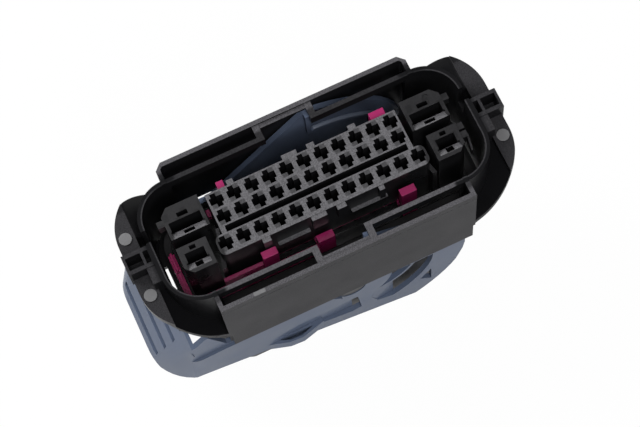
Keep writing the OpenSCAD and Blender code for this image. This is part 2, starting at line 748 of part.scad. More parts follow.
// Side view of a lever arm, from the cam disc at the right to the handle
module arm_outline() {
    polygon(concat(
        [[-22, pivot_z + 2], [-pocket_end - 1, pivot_z + 2.8],
         handle_inner + [3.4, 2.6], handle_inner + [2.7, 2.6], handle_inner, handle_top, handle_edge],
        handle_nose,
        [handle_lip, handle_foot],
        arc([0, pivot_z], cam_r + 0.2, -57, -24, 6),
        arc([0, pivot_z], cam_r, -12, acos(finger_x / cam_r), 12)));
}

// Cam walls on the inside of an arm: the pulling wall and the finger at its inner end
module cam_walls() {
    cam_end_r = cam_inner_r + (cam_start - cam_end) * cam_slope;
    polygon(concat(spiral(cam_end_r, -cam_slope, cam_end, cam_start),
                   spiral(cam_inner_r - cam_wall_t, -cam_slope, cam_start, cam_end)));
    translate([finger_x, pivot_z + cam_inner_r - 2 * cam_wall_t]) square([cam_wall_t, cam_r]);
}

// Raised pad on the outside of an arm, between the handle and the hub
module arm_pad() polygon([
    [-lever_reach - 2, pivot_z + 1.2], [-lever_reach + 7, pivot_z + 2], [-5, pivot_z + 2],
    [-2.5, pivot_z - 1], [-21, pivot_z - 7.3], [-lever_reach + 4.4, pivot_z - 6.9],
    [-lever_reach - 2, pivot_z - 3]]);

// Curved window beside the hub, parted by a thin spiral rib, and the triangle below it
module arm_windows() {
    rib_end_r = hub_r - window_rib_t / 2 + 56 * window_rib_slope;
    difference() {
        polygon(concat([[4, pivot_z - 11], [5.5, pivot_z - 15.5]], arc([0, pivot_z], rim_r, -61, -2),
                       arc([0, pivot_z], hub_r, -2, -50, 6)));
        polygon(concat(spiral(hub_r - window_rib_t / 2, window_rib_slope, -52, 4),
                       spiral(rib_end_r + window_rib_t, window_rib_slope, 4, -52)));
    }
    polygon([[16.2, pivot_z - 14.4], [19, pivot_z - 10.4], [19, pivot_z - 17.2]]);
}

// Long relief between the handle and the hub, which deepens to a window at its hub end
module arm_relief() polygon([
    [-20, pivot_z - 8], [0.9, pivot_z - 6.4], [1.5, pivot_z - 14.6], [-1, pivot_z - 15.2],
    [-20, pivot_z - 10.6]]);

// Cuts a side profile into an arm from the outside, with a floor that slopes in between two places
module sloping_cut(start_x, through_x) intersection() {
    side_slab(web_in - eps, arm_out + 2) children();
    slab(3 * pivot_z, 0) polygon([[start_x, arm_out + 2], [start_x, arm_out], [through_x, web_in - eps],
                                  [cam_r, web_in - eps], [cam_r, arm_out + 2]]);
}

// Thumb ramp that stands out of the lower edge of an arm, hollow on top
module thumb_ramp() {
    edge = [[-21.5, arm_out], [-16.8, arm_out + 0.9 * ramp_reach], [-13.5, arm_out + ramp_reach],
            [-8, arm_out + 0.2]];
    difference() {
        slab(pivot_z - 15.4, pivot_z - 12) polygon(concat([[-21.5, web_in]], edge, [[-8, web_in]]));
        slab(pivot_z - 14.2, pivot_z - 11) polygon([
            [-18.8, arm_out], [-16.4, arm_out + 0.6 * ramp_reach],
            [-13.6, arm_out + 0.65 * ramp_reach], [-10.4, arm_out]]);
    }
}

// Two round handle corners and the square far end of the lever's bounds, between two heights
module bounds_level(low, high, x, r) {
    for (side = [-1, 1])
        translate([x + r, side * (handle_half_w - r), low]) cylinder(r = r, h = high - low);
    translate([cam_r, -handle_half_w, low]) cube([1, 2 * handle_half_w, high - low]);
}

// Outer bounds of the lever: the grip slope and its corners, which grow rounder towards the lip
module lever_bounds() {
    lip_x = handle_top.x + (handle_lip.y - handle_top.y) / tan(grip_slope);
    hull() {
        bounds_level(handle_lip.y, handle_lip.y + eps, lip_x, handle_r);
        bounds_level(handle_top.y - eps, handle_top.y, handle_top.x, 1);
    }
    hull() bounds_level(pivot_z - 2 * cam_r, handle_lip.y + eps, lip_x, handle_r);
    slab(handle_top.y - eps, 0) translate([handle_top.x, -handle_half_w])
        square([cam_r + 1 - handle_top.x, 2 * handle_half_w]);
}

// Side view of the handle: a sloping grip plate with a lip along its lower edge
module handle_side() polygon(concat(
    [handle_top - [1, 0], handle_edge - [1, 0]], handle_nose,
    [handle_lip, handle_lip + [0.3, 0.8 * handle_wall], handle_edge + [1.2 * handle_wall, -0.6],
     handle_top - [0, 2 * handle_wall]]));

// Handle with its grip grooves and the solid corners that join it to the arms
module handle() difference() {
    union() {
        side_slab(-handle_half_w, handle_half_w) handle_side();
        both_sides() side_slab(web_in - handle_r / 3, web_in + eps)
            polygon(concat([handle_inner, handle_top, handle_edge], handle_nose, [handle_lip, handle_foot]));
    }
    translate([handle_edge.x, 0, handle_edge.y]) rotate([0, 90 - grip_slope, 0])
        for (i = [0:grip_count - 1]) translate([0, 0, grip_start + i * grip_pitch])
            cube([2 * grip_depth, 2 * (grip_half_w + i), grip_w], center = true);
}

// One arm with its cam walls, outer pad, windows and relief
module lever_arm() difference() {
    union() {
        side_slab(web_in, arm_out) arm_outline();
        side_slab(arm_in, web_in + eps) {
            intersection() {
                cam_walls();
                arm_outline();
            }
            translate([0, pivot_z]) circle(pivot_d / 2 + 2.2);
        }
        side_slab(arm_out - eps, arm_out + arm_pad_h) arm_pad();
    }
    sloping_cut(4, 10) arm_windows();
    sloping_cut(-20, 0) arm_relief();
}

module mate_lever() color(LEVER_COLOR) from_face() difference() {
    union() {
        intersection() {
            union() {
                both_sides() lever_arm();
                handle();
            }
            lever_bounds();
        }
        both_sides() thumb_ramp();
    }
    side_slab(-2 * arm_out, 2 * arm_out) translate([0, pivot_z]) circle(pivot_d / 2 + pivot_clear);
}

outer_housing();
contact_carrier();
secondary_lock();
interface_seal();
wire_seal();
seal_retainer();
wire_cover();
mate_lever();
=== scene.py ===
"""Dresses a lever-assisted harness plug: moulded finishes, softened edges, studio and camera."""
import json
import logging
from dataclasses import dataclass
from enum import Enum
from functools import partial, reduce
from math import radians

import bpy
import numpy as np
from mathutils import Matrix, Vector


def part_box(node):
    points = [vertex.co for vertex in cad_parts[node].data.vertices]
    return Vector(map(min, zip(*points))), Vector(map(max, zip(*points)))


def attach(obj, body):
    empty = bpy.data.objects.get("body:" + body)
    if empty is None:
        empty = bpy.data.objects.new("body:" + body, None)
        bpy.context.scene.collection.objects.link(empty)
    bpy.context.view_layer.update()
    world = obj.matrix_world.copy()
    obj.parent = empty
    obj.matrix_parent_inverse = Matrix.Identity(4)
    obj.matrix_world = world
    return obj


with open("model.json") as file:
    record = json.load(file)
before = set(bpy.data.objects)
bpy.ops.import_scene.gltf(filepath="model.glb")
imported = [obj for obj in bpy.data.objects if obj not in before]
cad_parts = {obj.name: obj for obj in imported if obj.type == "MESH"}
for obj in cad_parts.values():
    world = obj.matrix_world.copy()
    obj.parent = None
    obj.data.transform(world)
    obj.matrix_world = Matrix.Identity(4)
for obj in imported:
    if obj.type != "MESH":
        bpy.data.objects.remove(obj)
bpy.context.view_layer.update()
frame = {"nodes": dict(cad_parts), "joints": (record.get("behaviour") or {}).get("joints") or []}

MM = 0.001
LOG = logging.getLogger("harness_plug")

Colour = tuple[float, float, float]
Point = tuple[float, float, float]
Span = tuple[float, float]
FAR_MM = 100.0
EVERYWHERE: Span = (-FAR_MM, FAR_MM)
WHITE: Colour = (1.0, 1.0, 1.0)


class Body(Enum):
    """Bodies of the plug that new pieces ride on."""

    CONNECTOR = "connector"
    LEVER = "lever"


class Slot(Enum):
    """Material slots of the plug's record that new pieces take their finish from."""

    HOUSING = "housing_plastic"
    LEVER = "lever_plastic"


class Grain(Enum):
    """Kinds of surface grain, with the noise detail that each one has."""

    SPARK_ERODED = 3.0
    SATIN = 1.5
    SILICONE = 0.5


class Graph:
    """A material's node tree, with short calls to add and join nodes."""

    def __init__(self, material: bpy.types.Material) -> None:
        """Empties the material's tree and keeps it.

        Args:
            material: The material whose nodes are made.
        """
        material.use_nodes = True
        self.tree = material.node_tree
        self.tree.nodes.clear()

    def add(self, kind: str, **inputs: object) -> bpy.types.ShaderNode:
        """Adds a node and sets or links its inputs.

        Args:
            kind: The node's type without the leading ShaderNode.
            **inputs: Input names, with _ for a space, and either a value or a socket to link.

        Returns:
            The new node.
        """
        node = self.tree.nodes.new("ShaderNode" + kind)
        for name, value in inputs.items():
            self.feed(node.inputs[name.replace("_", " ")], value)
        return node

    def feed(self, socket: bpy.types.NodeSocket, value: object) -> None:
        """Links another node's socket to an input, or sets the input to a value.

        Args:
            socket: The input.
            value: A socket to link, or a value to set.
        """
        if isinstance(value, bpy.types.NodeSocket):
            self.tree.links.new(value, socket)
        else:
            socket.default_value = value

    def math(self, operation: str, first: object, second: object = 0.0) -> bpy.types.NodeSocket:
        """Adds a calculation of one or two numbers.

        Args:
            operation: Name of the operation.
            first: The first number or socket.
            second: The second number or socket.

        Returns:
            The result's socket.
        """
        node = self.tree.nodes.new("ShaderNodeMath")
        node.operation = operation
        self.feed(node.inputs[0], first)
        self.feed(node.inputs[1], second)
        return node.outputs["Value"]

    def mix(self, share: object, first: object, second: object, colour: bool) -> bpy.types.NodeSocket:
        """Adds a blend of two numbers or two colours.

        Args:
            share: How much of the second one there is.
            first: The first number, colour or socket.
            second: The second number, colour or socket.
            colour: True for colours, False for numbers.

        Returns:
            The blend's socket.
        """
        node = self.tree.nodes.new("ShaderNodeMix")
        node.data_type = "RGBA" if colour else "FLOAT"
        kind = "RGBA" if colour else "VALUE"
        ends = [socket for socket in node.inputs if socket.type == kind and socket.name in ("A", "B")]
        self.feed(node.inputs[0], share)
        self.feed(ends[0], first)
        self.feed(ends[1], second)
        return next(socket for socket in node.outputs if socket.type == kind)

    def ramp(self, factor: bpy.types.NodeSocket, start: float, end: float) -> bpy.types.NodeSocket:
        """Maps a value onto a share that rises from 0 at start to 1 at end and stays there.

        Args:
            factor: The value's socket.
            start: Value at which the share leaves 0.
            end: Value at which the share reaches 1.

        Returns:
            The share's socket.
        """
        node = self.add("MapRange", Value=factor, From_Min=start, From_Max=end)
        node.clamp = True
        return node.outputs["Result"]

    def band(self, distance: bpy.types.NodeSocket, span_mm: Span, soft_mm: float) -> bpy.types.NodeSocket:
        """Maps a distance onto a share that is 1 inside a span and fades to 0 beside it.

        Args:
            distance: The distance's socket, in metres.
            span_mm: Start and end of the span in millimetres.
            soft_mm: Length of the fade on each side in millimetres.

        Returns:
            The share's socket.
        """
        start, end = span_mm
        begun = self.ramp(distance, (start - soft_mm) * MM, start * MM)
        ended = self.ramp(distance, (end + soft_mm) * MM, end * MM)
        return self.math("MULTIPLY", begun, ended)

    def axes(self, vector: bpy.types.NodeSocket) -> bpy.types.NodeOutputs:
        """Splits a vector's socket into the sockets X, Y and Z."""
        return self.add("SeparateXYZ", Vector=vector).outputs


def rgba(colour: Colour, gain: float = 1.0) -> tuple[float, float, float, float]:
    """Returns a colour times a gain, with full alpha."""
    return (colour[0] * gain, colour[1] * gain, colour[2] * gain, 1.0)


@dataclass(frozen=True)
class PolishedZone:
    """Part of a moulding that was polished in the mould, between distances from its middle, which takes
    less of the painted light tone of the tops.
    """

    along_rows_mm: Span = EVERYWHERE
    across_rows_mm: Span = EVERYWHERE
    far_side_only: bool = False
    share: float = 1.0
    soft_mm: float = 0.6

    def mask(self, graph: Graph, place: bpy.types.NodeSocket) -> bpy.types.NodeSocket:
        """Adds nodes that give the zone's share inside both spans and fade to 0 beside them.

        Args:
            graph: The tree that the nodes go into.
            place: Object coordinates.

        Returns:
            The mask's socket.
        """
        axes = graph.axes(place)
        along = graph.math("ABSOLUTE", axes["X"])
        across = axes["Y"] if self.far_side_only else graph.math("ABSOLUTE", axes["Y"])
        inside = graph.math("MULTIPLY", graph.band(along, self.along_rows_mm, self.soft_mm),
                            graph.band(across, self.across_rows_mm, self.soft_mm))
        return graph.math("MULTIPLY", inside, self.share)


@dataclass(frozen=True)
class ShroudPlan:
    """Plan of the shroud's outer wall: a rectangle with round corners about the middle of the plug."""

    half_mm: Span = (37.1, 14.0)
    corner_r_mm: float = 8.4
    wall_mm: float = 1.0
    ends_beyond_mm: float = 26.5

    def corner_mm(self) -> Span:
        """Returns the middle of the corner's arc on the side where x and y are positive."""
        return (self.half_mm[0] - self.corner_r_mm, self.half_mm[1] - self.corner_r_mm)


SHROUD = ShroudPlan()


@dataclass(frozen=True)
class PolishedRim:
    """Outer band of the shroud's rim at its round ends, polished and kept clear of the painted light of the
    tops, so that only the inner line is light.
    """

    plan: ShroudPlan = SHROUD
    band_mm: float = 0.66
    soft_mm: float = 0.12
    end_fade_mm: float = 1.0
    past_side_mm: Span = (0.3, 0.8)

    def mask(self, graph: Graph, place: bpy.types.NodeSocket) -> bpy.types.NodeSocket:
        """Adds nodes that give 1 in the band, by the distance from the corners' centres in plan.

        Args:
            graph: The tree that the nodes go into.
            place: Object coordinates.

        Returns:
            The mask's socket.
        """
        axes = graph.axes(place)
        along = graph.math("ABSOLUTE", axes["X"])
        across = graph.math("ABSOLUTE", axes["Y"])
        squares = []
        for distance, middle in zip((along, across), self.plan.corner_mm()):
            past = graph.math("MAXIMUM", graph.math("SUBTRACT", distance, middle * MM), 0.0)
            squares.append(graph.math("POWER", past, 2.0))
        reach = graph.math("SQRT", graph.math("ADD", *squares))
        inner = self.plan.corner_r_mm - self.band_mm
        outer = self.plan.corner_r_mm + 2 * self.soft_mm
        ring = graph.band(reach, (inner, outer), self.soft_mm)
        beyond = self.plan.ends_beyond_mm
        ends = graph.ramp(along, (beyond - self.end_fade_mm) * MM, beyond * MM)
        kept, gone = (self.plan.half_mm[1] + past_mm for past_mm in self.past_side_mm)
        beside_guard = graph.ramp(across, gone * MM, kept * MM)
        return graph.math("MULTIPLY", ring, graph.math("MULTIPLY", ends, beside_guard))


@dataclass(frozen=True)
class KeyStepShade:
    """Painted shade of smoother steps beside the two lobes of every keyed cavity, in rows along x."""

    pitch_mm: float = 4.0
    row_y_first_x_mm: tuple[Span, ...] = ((5.05, 0.0), (1.15, 0.0), (-4.4, 2.0))
    step_x_mm: Span = (0.2, 1.3)
    step_y_mm: float = 1.65
    soft_mm: float = 0.15
    share: float = 0.6

    def mask(self, graph: Graph, place: bpy.types.NodeSocket) -> bpy.types.NodeSocket:
        """Adds nodes that give the share on the steps of every row.

        Args:
            graph: The tree that the nodes go into.
            place: Object coordinates.

        Returns:
            The mask's socket.
        """
        axes = graph.axes(place)
        rows = [self.row_mask(graph, axes, row_y, first_x) for row_y, first_x in self.row_y_first_x_mm]
        return graph.math("MULTIPLY", reduce(partial(graph.math, "MAXIMUM"), rows), self.share)

    def row_mask(self, graph: Graph, axes: bpy.types.NodeOutputs, row_y: float,
                 first_x: float) -> bpy.types.NodeSocket:
        """Adds nodes that give 1 on the steps of one row: a cavity looks the same turned half round.

        Args:
            graph: The tree that the nodes go into.
            axes: Sockets X, Y and Z of the object coordinates.
            row_y: The row's middle in millimetres.
            first_x: Place of one of its cavities along the row in millimetres.

        Returns:
            The row's mask.
        """
        pitch, half_turn = self.pitch_mm * MM, 0.5
        across = graph.math("SUBTRACT", axes["Y"], row_y * MM)
        turns = graph.math("DIVIDE", graph.math("SUBTRACT", axes["X"], first_x * MM), pitch)
        phase = graph.math("FRACT", graph.math("ADD", turns, half_turn))
        from_middle = graph.math("MULTIPLY", graph.math("SUBTRACT", phase, half_turn), pitch)
        along = graph.math("MULTIPLY", from_middle, graph.math("SIGN", across))
        within = graph.ramp(graph.math("ABSOLUTE", across), (self.step_y_mm + self.soft_mm) * MM,
                            self.step_y_mm * MM)
        return graph.math("MULTIPLY", within, graph.band(along, self.step_x_mm, self.soft_mm))


@dataclass(frozen=True)
class PaintedLightTops:
    """Upper faces that the mould's eroded texture leaves rougher than the smooth sides, and that carry a
    lighter tone of painted light.
    """

    # Painted light: the lighter tone that the upper faces take.
    colour: Colour
    roughness: float
    sparkle: float = 0.35
    above_mm: float = 48.0
    above_fade_mm: float = 1.0
    level: Span = (0.80, 0.98)
    lead_in_level: Span = (0.40, 0.60)
    # Share of the painted light tone on sloping lead-ins.
    lead_in_light_share: float = 0.0
    polished: tuple[PolishedZone | PolishedRim | KeyStepShade, ...] = ()
    outer_beyond_mm: float = FAR_MM
    outer_fade_mm: float = 0.3
    # Share of the painted light tone on faces beyond outer_beyond_mm across the rows, the guards' outer
    # walls.
    outer_wall_light_share: float = 0.0

    def mask(self, graph: Graph, coords: bpy.types.ShaderNode) -> bpy.types.NodeSocket:
        """Adds nodes that give 1 on level faces near the mating face, outside the polished zones.

        Sloping lead-ins and faces beyond a distance from the middle, the guards' outer walls, get shares of
        the painted light of their own.

        Args:
            graph: The tree that the nodes go into.
            coords: The Texture Coordinate node.

        Returns:
            The mask's socket.
        """
        place = coords.outputs["Object"]
        level = graph.axes(coords.outputs["Normal"])["Z"]
        axes = graph.axes(place)
        flat = graph.ramp(level, *self.level)
        mask = flat
        for zone in self.polished:
            mask = graph.math("MULTIPLY", mask, graph.math("SUBTRACT", 1.0, zone.mask(graph, place)))
        sloped = graph.math("SUBTRACT", graph.ramp(level, *self.lead_in_level), flat)
        mask = graph.math("ADD", mask, graph.math("MULTIPLY", sloped, self.lead_in_light_share))
        upper = graph.ramp(axes["Z"], (self.above_mm - self.above_fade_mm) * MM, self.above_mm * MM)
        outer = graph.ramp(graph.math("ABSOLUTE", axes["Y"]),
                           (self.outer_beyond_mm - self.outer_fade_mm) * MM, self.outer_beyond_mm * MM)
        return graph.math("MAXIMUM", graph.math("MULTIPLY", mask, upper),
                          graph.math("MULTIPLY", outer, self.outer_wall_light_share))


@dataclass(frozen=True)
class MouldedFinish:
    """A moulded plastic or silicone surface: cloudy tone, uneven gloss, fine grain, textured tops with
    painted light.
    """

    name: str
    colour: Colour
    roughness: float
    grain: Grain
    grain_mm: float
    grain_depth_mm: float
    mottle: float = 0.12
    gloss_spread: float = 0.06
    cloud_mm: float = 9.0
    cloud_detail: float = 3.0
    cloud_range: Span = (0.3, 0.7)
    speck_range: Span = (0.35, 0.65)
    specular: float = 0.5
    sheen: float = 0.0
    tops: PaintedLightTops | None = None

    def material(self) -> bpy.types.Material:
        """Builds the node material from the fields.

        Returns:
            The finished material.
        """
        made = bpy.data.materials.new(self.name)
        graph = Graph(made)
        coords = graph.add("TexCoord")
        place = coords.outputs["Object"]
        cloud = graph.add("TexNoise", Vector=place, Scale=1 / (self.cloud_mm * MM),
                          Detail=self.cloud_detail)
        grain = graph.add("TexNoise", Vector=place, Scale=1 / (self.grain_mm * MM),
                          Detail=self.grain.value)
        patch = graph.ramp(cloud.outputs["Fac"], *self.cloud_range)
        tone = graph.mix(patch, rgba(self.colour, 1 - self.mottle), rgba(self.colour, 1 + self.mottle),
                         colour=True)
        gloss = graph.mix(patch, self.roughness - self.gloss_spread, self.roughness + self.gloss_spread,
                          colour=False)
        if self.tops is not None:
            # Upper faces get a rougher gloss and a lighter tone of painted light.
            upper = self.tops.mask(graph, coords)
            speck = graph.ramp(grain.outputs["Fac"], *self.speck_range)
            painted_top_tone = graph.mix(speck, rgba(self.tops.colour, 1 - self.tops.sparkle),
                                   rgba(self.tops.colour, 1 + self.tops.sparkle), colour=True)
            tone = graph.mix(upper, tone, painted_top_tone, colour=True)
            gloss = graph.mix(upper, gloss, self.tops.roughness, colour=False)
        bump = graph.add("Bump", Height=grain.outputs["Fac"], Distance=self.grain_depth_mm * MM,
                         Strength=1.0)
        shader = graph.add("BsdfPrincipled", Base_Color=tone, Roughness=gloss,
                           Normal=bump.outputs["Normal"], Specular_IOR_Level=self.specular,
                           Sheen_Weight=self.sheen)
        graph.add("OutputMaterial", Surface=shader.outputs["BSDF"])
        return made


# Zones with less texture, which also take less of the painted light tone of the tops
FLANGE_BARS = PolishedZone(along_rows_mm=(37.2, FAR_MM), share=0.70)
SHROUD_RIM = PolishedRim()
SHROUD_ENDS = PolishedZone(
    along_rows_mm=(SHROUD.ends_beyond_mm, 37.6), across_rows_mm=(-FAR_MM, 15.4), share=0.62)
FAR_RAIL = PolishedZone(across_rows_mm=(13.0, 15.0), far_side_only=True, share=0.75)
COLLARS = PolishedZone(along_rows_mm=(23.2, FAR_MM), share=0.9)

# Finishes
# The housing's tops colour is painted light, far lighter than its black.
HOUSING_BLACK = MouldedFinish(
    "housing_black", colour=(0.009, 0.009, 0.010), roughness=0.34, specular=0.06,
    grain=Grain.SPARK_ERODED, grain_mm=0.22, grain_depth_mm=0.006,
    tops=PaintedLightTops(colour=(0.084, 0.082, 0.089), roughness=0.60,
                      polished=(FLANGE_BARS, SHROUD_RIM, SHROUD_ENDS, FAR_RAIL),
                      outer_beyond_mm=17.7, outer_wall_light_share=0.30))
COVER_BLACK = MouldedFinish(
    "cover_black", colour=(0.020, 0.020, 0.022), roughness=0.42, specular=0.35,
    grain=Grain.SPARK_ERODED, grain_mm=0.22, grain_depth_mm=0.008)
# The carrier's tops colour is painted light on its upper faces and lead-ins, and its key steps are painted
# shade.
CARRIER_BLACK = MouldedFinish(
    "carrier_black", colour=(0.009, 0.009, 0.010), roughness=0.32, specular=0.4,
    grain=Grain.SATIN, grain_mm=0.26, grain_depth_mm=0.005,
    tops=PaintedLightTops(colour=(0.100, 0.098, 0.106), roughness=0.60, lead_in_light_share=1.0,
                      polished=(COLLARS, KeyStepShade())))
RETAINER_BLACK = MouldedFinish(
    "retainer_black", colour=(0.020, 0.020, 0.022), roughness=0.46, specular=0.4,
    grain=Grain.SATIN, grain_mm=0.30, grain_depth_mm=0.006)
# The pips' grey is painted light, for the light that their rough faces scatter.
PIP_PAINTED_LIGHT = MouldedFinish(
    "ejector_pip_painted_light", colour=(0.150, 0.150, 0.155), roughness=0.62,
    grain=Grain.SPARK_ERODED, grain_mm=0.18, grain_depth_mm=0.020)
LOCK_MAGENTA = MouldedFinish(
    "lock_magenta", colour=(0.33, 0.013, 0.105), roughness=0.30, mottle=0.08,
    grain=Grain.SATIN, grain_mm=0.35, grain_depth_mm=0.004)
LEVER_SLATE = MouldedFinish(
    "lever_slate", colour=(0.092, 0.116, 0.172), roughness=0.36, specular=0.18, mottle=0.07,
    grain=Grain.SATIN, grain_mm=0.28, grain_depth_mm=0.004)
# The bead's lighter slate is a painted highlight on the rounded cam wall.
LEVER_HIGHLIGHT = MouldedFinish(
    "lever_painted_highlight", colour=(0.150, 0.175, 0.230), roughness=0.24, specular=0.8, mottle=0.07,
    grain=Grain.SATIN, grain_mm=0.28, grain_depth_mm=0.002)
SEAL_CHARCOAL = MouldedFinish(
    "seal_charcoal", colour=(0.016, 0.015, 0.017), roughness=0.62, sheen=0.05,
    grain=Grain.SILICONE, grain_mm=0.5, grain_depth_mm=0.004)
MAT_RUSSET = MouldedFinish(
    "mat_russet", colour=(0.30, 0.08, 0.04), roughness=0.60, sheen=0.1,
    grain=Grain.SILICONE, grain_mm=0.5, grain_depth_mm=0.004)


@dataclass(frozen=True)
class SoftEdge:
    """A moulded edge radius that is cut along a node's sharp edges."""

    radius_mm: float
    segments: int = 2
    sharp_deg: float = 32.0
    weld_mm: float = 0.004
    flat_deg: float = 0.6
    flat_weight: int = 90

    def apply(self, piece: bpy.types.Object) -> None:
        """Adds the modifiers that merge a node's triangles and round its edges.

        Args:
            piece: The object whose edges are softened.
        """
        weld = piece.modifiers.new("join_triangles", "WELD")
        weld.merge_threshold = self.weld_mm * MM
        flat = piece.modifiers.new("whole_faces", "DECIMATE")
        flat.decimate_type = "DISSOLVE"
        flat.angle_limit = radians(self.flat_deg)
        bevel = piece.modifiers.new("moulded_edge", "BEVEL")
        bevel.width = self.radius_mm * MM
        bevel.segments = self.segments
        bevel.limit_method = "ANGLE"
        bevel.angle_limit = radians(self.sharp_deg)
        bevel.use_clamp_overlap = True
        bevel.harden_normals = False
        normals = piece.modifiers.new("flat_face_normals", "WEIGHTED_NORMAL")
        normals.weight = self.flat_weight


def dress_node(node: str, finish: MouldedFinish, edge: SoftEdge | None = None) -> None:
    """Gives a node its finish and, where it has one, its edge radius.

    Args:
        node: Name of the node.
        finish: The finish for all its faces.
        edge: The edge radius, or None for sharp edges.
    """
    piece = frame["nodes"][node]
    piece.data.materials.clear()
    piece.data.materials.append(finish.material())
    if edge is not None:
        edge.apply(piece)
    LOG.info("dressed %s with %s", node, finish.name)


# Shapes
def signed_power(wave: np.ndarray, sharpness: float) -> np.ndarray:
    """Raises a wave to a power and keeps its sign."""
    return np.sign(wave) * np.abs(wave) ** sharpness


def pillow(centre: Point, half: Point, square_plan: float = 1.0, square_side: float = 0.4,
           steps: tuple[int, int] = (40, 12)) -> np.ndarray:
    """Grid of a closed pillow whose plan goes from an ellipse to a rectangle.

    A point at turn u and rise v is centre + half times the cosines and sines of u and v, each
    raised to a power with its sign kept: the lower the power, the squarer the outline.

    Args:
        centre: Middle of the pillow in millimetres.
        half: Half its length, width and height in millimetres.
        square_plan: Power for the plan, 1 for an ellipse and near 0 for a rectangle.
        square_side: Power for the outline from the side, in the same way.
        steps: Points round the plan and from the bottom to the top.

    Returns:
        Array of rise by turn by three coordinates in millimetres.
    """
    turn = np.linspace(0.0, 2.0 * np.pi, steps[0], endpoint=False)[None, :]
    rise = np.linspace(-np.pi / 2, np.pi / 2, steps[1])[:, None]
    girth = signed_power(np.cos(rise), square_side)
    grid = np.stack(np.broadcast_arrays(girth * signed_power(np.cos(turn), square_plan),
                                        girth * signed_power(np.sin(turn), square_plan),
                                        signed_power(np.sin(rise), square_side)), axis=-1)
    return np.asarray(centre) + np.asarray(half) * grid


def swept_bar(spine: np.ndarray, side: np.ndarray, up: np.ndarray, square: float = 0.12,
              around: int = 64) -> np.ndarray:
    """Grid of a bar with a rounded rectangular section that changes along its spine.

    A point at station s and turn u is spine(s) + side(s) times the cosine of u + up(s) times the
    sine of u, with both waves raised to a power with their sign kept.

    Args:
        spine: Station by three, the middles of the sections in millimetres.
        side: Station by three, half the section's width as a vector.
        up: Station by three, half the section's height as a vector.
        square: Power for the section, 1 for an ellipse and near 0 for a rectangle.
        around: Points round a section.

    Returns:
        Array of station by turn by three coordinates in millimetres, faces outward.
    """
    turn = np.linspace(0.0, 2.0 * np.pi, around, endpoint=False)[None, :, None]
    if np.dot(np.cross(side[0], up[0]), spine[1] - spine[0]) < 0:
        turn = -turn
    return (spine[:, None] + side[:, None] * signed_power(np.cos(turn), square)
            + up[:, None] * signed_power(np.sin(turn), square))


def closed_mesh(name: str, grids: list[np.ndarray]) -> bpy.types.Object:
    """Joins closed grids into one object whose rows run round and whose ends are capped.

    Args:
        name: Name of the object.
        grids: Arrays of row by column by three coordinates in millimetres, bottom row first.

    Returns:
        The object, linked to the scene, with its place in its mesh.
    """
    points: list[np.ndarray] = []
    faces: list[list[int]] = []
    start = 0
    for grid in grids:
        rows, columns = grid.shape[:2]
        index = start + np.arange(rows * columns).reshape(rows, columns)
        after = np.roll(index, -1, axis=1)
        quads = np.stack([index[:-1], after[:-1], after[1:], index[1:]], axis=-1).reshape(-1, 4)
        faces += quads.tolist() + [index[0, ::-1].tolist(), index[-1].tolist()]
        points.append(grid.reshape(-1, 3) * MM)
        start += rows * columns
    mesh = bpy.data.meshes.new(name)
    mesh.from_pydata(np.concatenate(points).tolist(), [], faces)
    mesh.polygons.foreach_set("use_smooth", np.ones(len(mesh.polygons), dtype=bool))
    piece = bpy.data.objects.new(name, mesh)
    bpy.context.scene.collection.objects.link(piece)
    return piece


def add_piece(piece: bpy.types.Object, finish: MouldedFinish, body: Body) -> None:
    """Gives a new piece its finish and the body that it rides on.

    Args:
        piece: The new object.
        finish: Its finish.
        body: The body that carries it.
    """
    piece.data.materials.append(finish.material())
    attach(piece, body.value)
    LOG.info("built %s on %s", piece.name, body.value)


